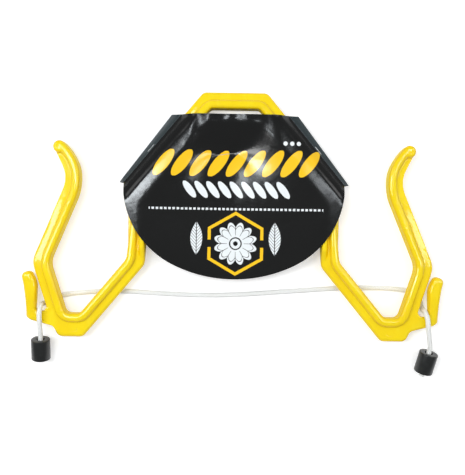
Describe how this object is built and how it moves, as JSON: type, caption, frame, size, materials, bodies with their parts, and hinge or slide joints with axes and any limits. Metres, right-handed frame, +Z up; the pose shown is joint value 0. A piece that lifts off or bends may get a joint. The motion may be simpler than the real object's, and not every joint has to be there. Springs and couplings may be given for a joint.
{
  "type": "sheep restrainer",
  "caption": "Moulded plastic sheep restrainer: a neck arch with a leg hook on each side, a neck cord held in side cleats with rubber stoppers, and a card sleeve over the arch.",
  "frame": {"origin": "on the surface that the restrainer lies on, under the middle of the moulded frame's length and width", "axes": "+X to the right across both leg hooks, +Y towards the top of the neck arch, +Z up out of the surface"},
  "size_m": [0.4732, 0.3159, 0.0281],
  "materials": {
    "frame": "semi-gloss moulded",
    "cord": "braided",
    "stopper": "satin",
    "card": "laminated card",
    "staple": "bright wire"
  },
  "bodies": {
    "moulding": {"frame": "frame", "neck_cord": "cord"},
    "sleeve": {"card_front": "card", "card_back": "card", "staple_centre": "staple", "staple_left": "staple", "staple_right": "staple"},
    "tail_left": {"cord_tail_left": "cord", "knot_left": "cord"},
    "tail_right": {"cord_tail_right": "cord", "knot_right": "cord"},
    "stop_left": {"stopper_left": "stopper"},
    "stop_right": {"stopper_right": "stopper"}
  },
  "joints": [
    {"name": "sleeve_slide", "type": "slide", "parent": "moulding", "child": "sleeve", "axis": [0, 1, 0], "range_m": [0, 0.015]},
    {"name": "tail_left_swing", "type": "hinge", "parent": "moulding", "child": "tail_left", "pos_m": [-0.2134, -0.1021, 0.01405], "axis": [0, 0, 1], "range_deg": [-10, 6]},
    {"name": "tail_right_swing", "type": "hinge", "parent": "moulding", "child": "tail_right", "pos_m": [0.215, -0.1026, 0.01405], "axis": [0, 0, 1], "range_deg": [-8, 8]},
    {"name": "stopper_left_slide", "type": "slide", "parent": "tail_left", "child": "stop_left", "axis": [0.0253, 0.9656, 0.2588], "range_m": [0, 0.008]},
    {"name": "stopper_right_slide", "type": "slide", "parent": "tail_right", "child": "stop_right", "axis": [0.2008, 0.9448, 0.2588], "range_m": [0, 0.006]}
  ]
}
